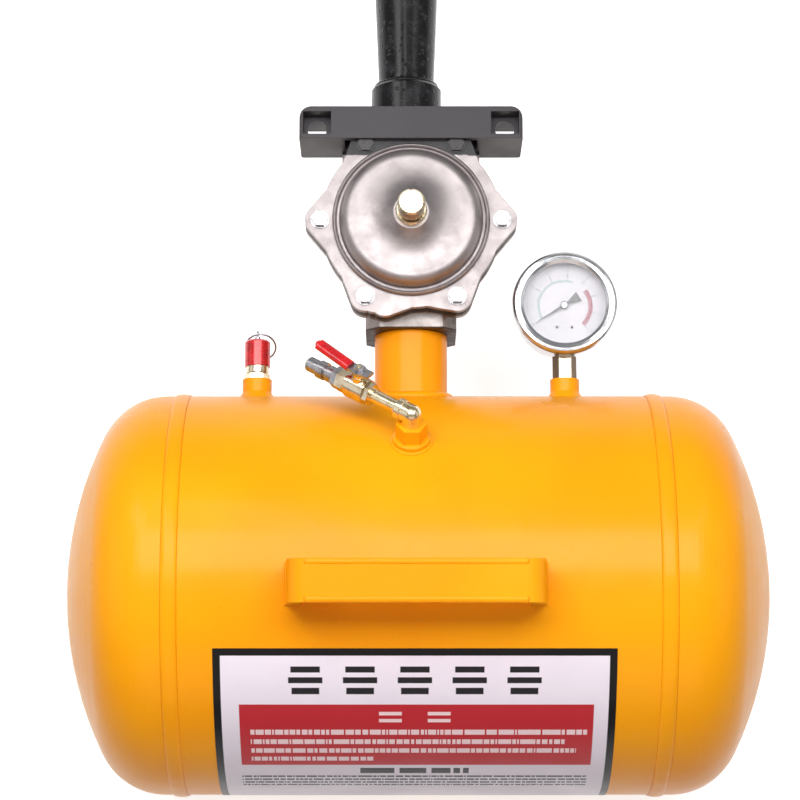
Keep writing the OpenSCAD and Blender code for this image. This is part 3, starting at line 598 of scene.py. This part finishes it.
def add_piece(name, mesh, finish, body=ROOT):
    """Turns a bmesh into a piece that rides on a body."""
    bmesh.ops.recalc_face_normals(mesh, faces=mesh.faces)
    data = bpy.data.meshes.new(name)
    mesh.to_mesh(data)
    mesh.free()
    data.materials.append(finish)
    piece = add_object(name, data)
    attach(piece, body)
    return piece


def ring_mesh(rings, loop):
    """Bmesh over rings of points in order, closed in a loop or capped at both ends."""
    mesh = bmesh.new()
    rows = [[mesh.verts.new(point) for point in ring] for ring in rings]
    count = len(rows[0])
    pairs = list(zip(rows, rows[1:]))
    if loop:
        pairs.append((rows[-1], rows[0]))
    for here, there in pairs:
        for k in range(count):
            after = (k + 1) % count
            face = mesh.faces.new((here[k], here[after], there[after], there[k]))
            face.smooth = True
    if not loop:
        mesh.faces.new(rows[0])
        mesh.faces.new(rows[-1])
    return mesh


def weld_bead(name, path, up, width, rise, pitch, slot, loop=True, curl=0.0, ripple=0.16):
    """A weld bead along a path, with a ripple for each pitch that curls back at its edges."""
    sides = 12
    rings = []
    travelled = 0.0
    count = len(path)
    for i, point in enumerate(path):
        ahead = path[(i + 1) % count] if loop else path[min(i + 1, count - 1)]
        behind = path[i - 1] if loop or i else point
        if i:
            travelled += (point - path[i - 1]).length
        along = (ahead - behind).normalized()
        lift = up(point)
        across = along.cross(lift).normalized()
        ring = []
        for turn in circle(sides):
            offset = math.cos(turn)
            wave = math.sin(math.pi * (travelled / pitch + curl * offset * offset)) ** 2
            swell = 0.9 + ripple * wave + 0.12 * noise.noise(point / MM * 0.09)
            ring.append(point + across * width * offset * (0.94 + 0.06 * swell)
                        + lift * rise * math.sin(turn) * swell)
        rings.append(ring)
    return add_piece(name, ring_mesh(rings, loop), FINISHES[slot])


def ring_on_tank(x, degrees, reach, steps):
    """Where a round tube of a given radius meets the tank."""
    place = radial(x, degrees)
    path = []
    for turn in circle(steps):
        side = reach * math.sin(turn)
        height = math.sqrt(TANK_R ** 2 - side ** 2)
        path.append(place @ Vector((reach * math.cos(turn), side, height)))
    return path


def boss_welds():
    """Fillets round the neck and the four bosses. The neck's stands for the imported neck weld."""
    def straight_out(degrees):
        turn = math.radians(degrees)
        return lambda point: Vector((0, math.cos(turn), math.sin(turn)))

    neck_path = ring_on_tank(NECK_X, 0, NECK_R + 1.6 * MM, 420)
    neck = weld_bead("neck_fillet", neck_path, straight_out(0),
                     3.6 * MM, 3.4 * MM, 2.6 * MM, "tank_paint", curl=0.5)
    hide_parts("neck_weld")
    small, slim = (10.6 * MM, 2.6 * MM), (12.2 * MM, 1.3 * MM)
    for node, degrees, (reach, thick) in (("safety_boss", 0, small),
                                          ("gauge_boss", 0, small),
                                          ("inlet_boss", INLET_AT, slim),
                                          ("drain_boss", -90, small)):
        path = ring_on_tank(centre(node).x, degrees, reach, 200)
        weld_bead(node + "_fillet", path, straight_out(degrees),
                  thick, thick, 2.2 * MM, "tank_paint", curl=0.5)


def girth_welds():
    """The two seams between shell and heads, as one rippled bead each."""
    half_width = size("girth_welds").x / 2 - SEAM_X
    for side, name in ((-1, "left_girth_bead"), (1, "right_girth_bead")):
        path = []
        for turn in circle(1500):
            offset = Vector((side * SEAM_X, math.cos(turn) * TANK_R, math.sin(turn) * TANK_R))
            path.append(Vector((0, TANK.y, TANK.z)) + offset)
        bead = weld_bead(name, path, outward, half_width, 1.6 * MM, 3.2 * MM, "tank_paint",
                         curl=0.8, ripple=0.02)
        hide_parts("girth_welds")


def handle_frame():
    """Frame of the handle on the tank, and the direction it stands in."""
    place = radial(0, HANDLE_AT)
    return place, place.to_3x3() @ Vector((0, 0, 1))


def handle_welds():
    """Fillets where the strap's two legs meet the tank, on their outer faces."""
    low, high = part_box("carry_handle")
    half = 13.25 * MM
    thick = 2.4 * MM
    place, lift = handle_frame()
    for x, name in ((low.x, "left_leg_fillet"), (high.x, "right_leg_fillet")):
        path = []
        for i in range(81):
            side = half * (i / 40 - 1)
            path.append(place @ Vector((x, side, math.sqrt(TANK_R ** 2 - side ** 2))))
        weld_bead(name, path, lambda point: lift, thick, thick, 2.4 * MM, "tank_paint", False, 0.5)


def handle_lips():
    """Rolled edges along the handle's outer face."""
    low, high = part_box("carry_handle")
    place, lift = handle_frame()
    inset = 11 * MM
    edge, face = 11.2 * MM, 37.9 * MM
    for side, name in ((-1, "front_handle_lip"), (1, "rear_handle_lip")):
        path = []
        for i in range(81):
            x = low.x + inset + (high.x - low.x - 2 * inset) * i / 80
            path.append(place @ Vector((x, side * edge, TANK_R + face)))
        weld_bead(name, path, lambda point: lift, 1.7 * MM, 0.8 * MM, 40 * MM, "tank_paint", False)


def foot_welds():
    """Fillets along the four edges of the two saddles."""
    spread = 38.5
    thick = 2.4 * MM
    for node in ("left_foot", "right_foot"):
        low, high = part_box(node)
        for x, side in ((low.x, "left"), (high.x, "right")):
            path = []
            for i in range(241):
                turn = math.radians(-90 + spread * (i / 120 - 1))
                y, z = TANK.y + TANK_R * math.cos(turn), TANK.z + TANK_R * math.sin(turn)
                path.append(Vector((x, y, z)))
            weld_bead(f"{node}_{side}_fillet", path, outward,
                      thick, thick, 2.8 * MM, "tank_paint", False, 0.5)


def barrel_welds():
    """Beads round the barrel at the bracket, the collar's top and the nozzle."""
    def forward(point):
        return Vector((0, 1, 0))

    bracket_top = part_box("barrel_bracket")[1].y
    collar_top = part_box("barrel_collar")[1].y
    nozzle_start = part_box("nozzle")[0].y
    for name, y, reach, thick in (("bracket_bead", bracket_top, 25.6 * MM, 1.7 * MM),
                                  ("collar_bead", collar_top - 0.6 * MM, 19.9 * MM, 2.1 * MM),
                                  ("nozzle_bead", nozzle_start, 20.6 * MM, 1.5 * MM)):
        path = []
        for turn in circle(360):
            x, z = BARREL_X + reach * math.cos(turn), TANK.z + reach * math.sin(turn)
            path.append(Vector((x, y, z)))
        weld_bead(name, path, forward, thick, thick, 2.4 * MM, "black_paint", curl=0.4)


def nozzle_shell():
    """Barrel end pressed from round to a flat mouth, as one smooth wall."""
    low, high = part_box("nozzle")
    half_w = (high.x - low.x) / 2
    flat = 11 * MM
    bulge = half_w - flat
    wall = 2 * MM
    round_r = size("barrel_pipe").x / 2
    steps, sides = 40, 96
    press_end = 0.62
    corner = 3

    def ring(share, inset):
        ease = smooth(min(share / press_end, 1.0))
        y = low.y + (high.y - low.y) * share
        points = []
        for turn in circle(sides):
            cos, sin = math.cos(turn), math.sin(turn)
            mouth = math.copysign(bulge, cos) * min(1, abs(cos) * corner) + flat * cos
            wide = round_r * cos * (1 - ease) + mouth * ease
            thick = round_r * sin * (1 - ease) + flat * sin * ease
            away = Vector((wide, thick)).normalized() * inset
            points.append(Vector((BARREL_X + wide - away.x, y, TANK.z + thick - away.y)))
        return points

    outer = [ring(i / steps, 0.0) for i in range(steps + 1)]
    inner = [ring(i / steps, wall) for i in range(steps, -1, -1)]
    lip = [ring(1.0, wall * 0.12), ring(1.0, wall * 0.88)]
    mesh = ring_mesh(outer + lip + inner, True)
    piece = add_piece("pressed_nozzle", mesh, FINISHES["black_paint"])
    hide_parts("nozzle")


def prisms(name, outlines, low, high, finish):
    """Thin closed plates, one for each outline of points in the gauge's plane."""
    mesh = bmesh.new()
    for outline in outlines:
        bottom = [mesh.verts.new((GAUGE.x + x, GAUGE.y + y, low)) for x, y in outline]
        top = [mesh.verts.new((GAUGE.x + x, GAUGE.y + y, high)) for x, y in outline]
        mesh.faces.new(bottom)
        mesh.faces.new(top)
        for k in range(len(outline)):
            after = (k + 1) % len(outline)
            mesh.faces.new((bottom[k], bottom[after], top[after], top[k]))
    return add_piece(name, mesh, finish)


def arc_band(start, end, inner, outer):
    """Outline of a band between two radii, from one angle to another."""
    degrees_per_step = 3
    steps = max(2, int(abs(end - start) / degrees_per_step))
    turns = [math.radians(start + (end - start) * i / steps) for i in range(steps + 1)]
    out = [(outer * math.cos(t), outer * math.sin(t)) for t in turns]
    back = [(inner * math.cos(t), inner * math.sin(t)) for t in reversed(turns)]
    return out + back


def tick(degrees, inner, outer, half):
    """Outline of a straight mark that points at the dial's centre."""
    turn = math.radians(degrees)
    cos, sin = math.cos(turn), math.sin(turn)
    corners = ((inner, -half), (outer, -half), (outer, half), (inner, half))
    return [(r * cos - s * sin, r * sin + s * cos) for r, s in corners]


def dial_print():
    """Scale, coloured arcs and numbers on the dial."""
    zero, full = 212.0, -45.0
    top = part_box("gauge_dial")[1].z
    ink_top = top + 0.08 * MM
    majors, minors = 8, 5
    per_minor = (full - zero) / (majors * minors)
    marks = []
    for i in range(majors * minors + 1):
        degrees = zero + per_minor * i
        if i % minors == 0:
            marks.append(tick(degrees, 19.2 * MM, 22.6 * MM, 0.32 * MM))
        else:
            marks.append(tick(degrees, 20.6 * MM, 22.6 * MM, 0.13 * MM))
    prisms("dial_scale", marks, top, ink_top, ink("dial grey ink", "6F737C"))
    low_arc = [arc_band(zero, 70.0, 16.4 * MM, 18.2 * MM)]
    prisms("dial_low_arc", low_arc, top, ink_top, ink("dial teal ink", "A3B4B6"))
    red_arc = [arc_band(37.0, full, 16.2 * MM, 19.2 * MM)]
    prisms("dial_red_arc", red_arc, top, ink_top, ink("dial red ink", "9C2A45"))
    for i in range(majors + 1):
        turn = math.radians(zero + per_minor * minors * i)
        curve = bpy.data.curves.new(f"dial_number_{i}", "FONT")
        curve.body = str(2 * i)
        curve.size = 3.4 * MM
        curve.align_x = "CENTER"
        curve.align_y = "CENTER"
        curve.extrude = 0.04 * MM
        number = add_object(f"dial_number_{i}", curve)
        reach = 24.9 * MM
        x, y = GAUGE.x + reach * math.cos(turn), GAUGE.y + reach * math.sin(turn)
        number.location = (x, y, ink_top)
        curve.materials.append(bpy.data.materials["dial grey ink"])
        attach(number, ROOT)


# ---- studio ----

def camera():
    """Looks down on the tank from behind the valve, tilted towards the blast."""
    lens = bpy.data.cameras.new("camera")
    lens.lens = 122.985
    lens.sensor_width = 36.0
    eye = add_object("camera", lens)
    ahead = Vector((0, 0.2164, -0.9763)).normalized()
    right = Vector((1, 0, 0))
    up = right.cross(ahead)
    turn = Matrix((right, up, -ahead)).transposed()
    place = (-0.0118, -0.54235, 1.9371)
    eye.matrix_world = Matrix.Translation(place) @ turn.to_4x4()
    bpy.context.scene.camera = eye


def soft_box(name, place, aim, width, height, power, colour=(1.0, 1.0, 1.0)):
    """A rectangular light at a place, turned to face a point."""
    data = bpy.data.lights.new(name, "AREA")
    data.shape = "RECTANGLE"
    data.size = width
    data.size_y = height
    data.energy = power
    data.color = colour
    lamp = add_object(name, data)
    facing = Vector(aim) - Vector(place)
    turn = facing.to_track_quat("-Z", "Y").to_matrix()
    lamp.matrix_world = Matrix.Translation(place) @ turn.to_4x4()
    lamp.visible_camera = False


def backdrop():
    """A pale dome far behind everything, which lights nothing."""
    shell = bmesh.new()
    bmesh.ops.create_uvsphere(shell, u_segments=48, v_segments=24, radius=30.0)
    data = bpy.data.meshes.new("backdrop")
    shell.to_mesh(data)
    shell.free()
    dome = add_object("backdrop", data)
    paper = Finish("paper wall", {"Roughness": 1.0, "Specular IOR Level": 0.0,
                                  "Emission Strength": 0.9,
                                  "Emission Color": (1.0, 1.0, 1.0, 1.0)})
    tone = paper.blend(paper.noise(1.0, 2.0), (0.0, 0.0, 0.0, 1.0), (0.02, 0.02, 0.02, 1.0))
    data.materials.append(paper.wire({"Base Color": tone}))
    dome.visible_diffuse = False
    dome.visible_glossy = False
    dome.visible_transmission = False
    dome.visible_shadow = False


def studio():
    """White surroundings, a long box over the tank, strips over the barrel and weak fills."""
    world = bpy.data.worlds.new("studio")
    world.use_nodes = True
    sky = world.node_tree.nodes["Background"].inputs
    sky["Color"].default_value = (1.0, 0.99, 0.99, 1.0)
    sky["Strength"].default_value = 0.27
    bpy.context.scene.world = world
    on_tank, on_barrel = (0.0, TANK.y, 0.15), (0.0, 0.1, 0.15)
    soft_box("key", (0.0, 0.046, 1.36), (0.0, TANK.y, 0.2), 1.5, 0.46, 14.5)
    soft_box("left_strip", (-0.75, 0.55, 1.3), on_barrel, 0.3, 0.6, 3.0)
    soft_box("middle_strip", (-0.16, 0.55, 1.36), on_barrel, 0.1, 0.5, 0.9)
    soft_box("right_strip", (0.85, 0.55, 1.3), on_barrel, 0.12, 0.6, 0.8)
    soft_box("back_fill", (0.0, -1.5, 1.1), on_tank, 1.8, 0.9, 4.0, (1.0, 0.86, 0.76))
    soft_box("left_fill", (-1.6, -0.1, 0.9), on_tank, 1.2, 0.9, 2.2)
    soft_box("right_fill", (1.6, -0.1, 0.9), on_tank, 1.2, 0.9, 1.8)

    floor_mesh = bmesh.new()
    bmesh.ops.create_grid(floor_mesh, x_segments=8, y_segments=8, size=12.0)
    data = bpy.data.meshes.new("floor")
    floor_mesh.to_mesh(data)
    floor_mesh.free()
    floor = add_object("floor", data)
    paper = Finish("paper floor", {"Roughness": 0.9, "Specular IOR Level": 0.1,
                                   "Emission Strength": 0.6,
                                   "Emission Color": (1.0, 1.0, 1.0, 1.0)})
    tone = paper.blend(paper.noise(3.0, 3.0), (0.86, 0.86, 0.86, 1.0), (0.9, 0.9, 0.9, 1.0))
    data.materials.append(paper.wire({"Base Color": tone}))
    floor.location.z = -0.1 * MM
    floor.visible_diffuse = False
    backdrop()

    bpy.context.scene.view_settings.view_transform = "Standard"


dress_cad_nodes()
springs()
moulded_diaphragm()
boss_welds()
girth_welds()
handle_welds()
handle_lips()
foot_welds()
barrel_welds()
nozzle_shell()
dial_print()
camera()
studio()
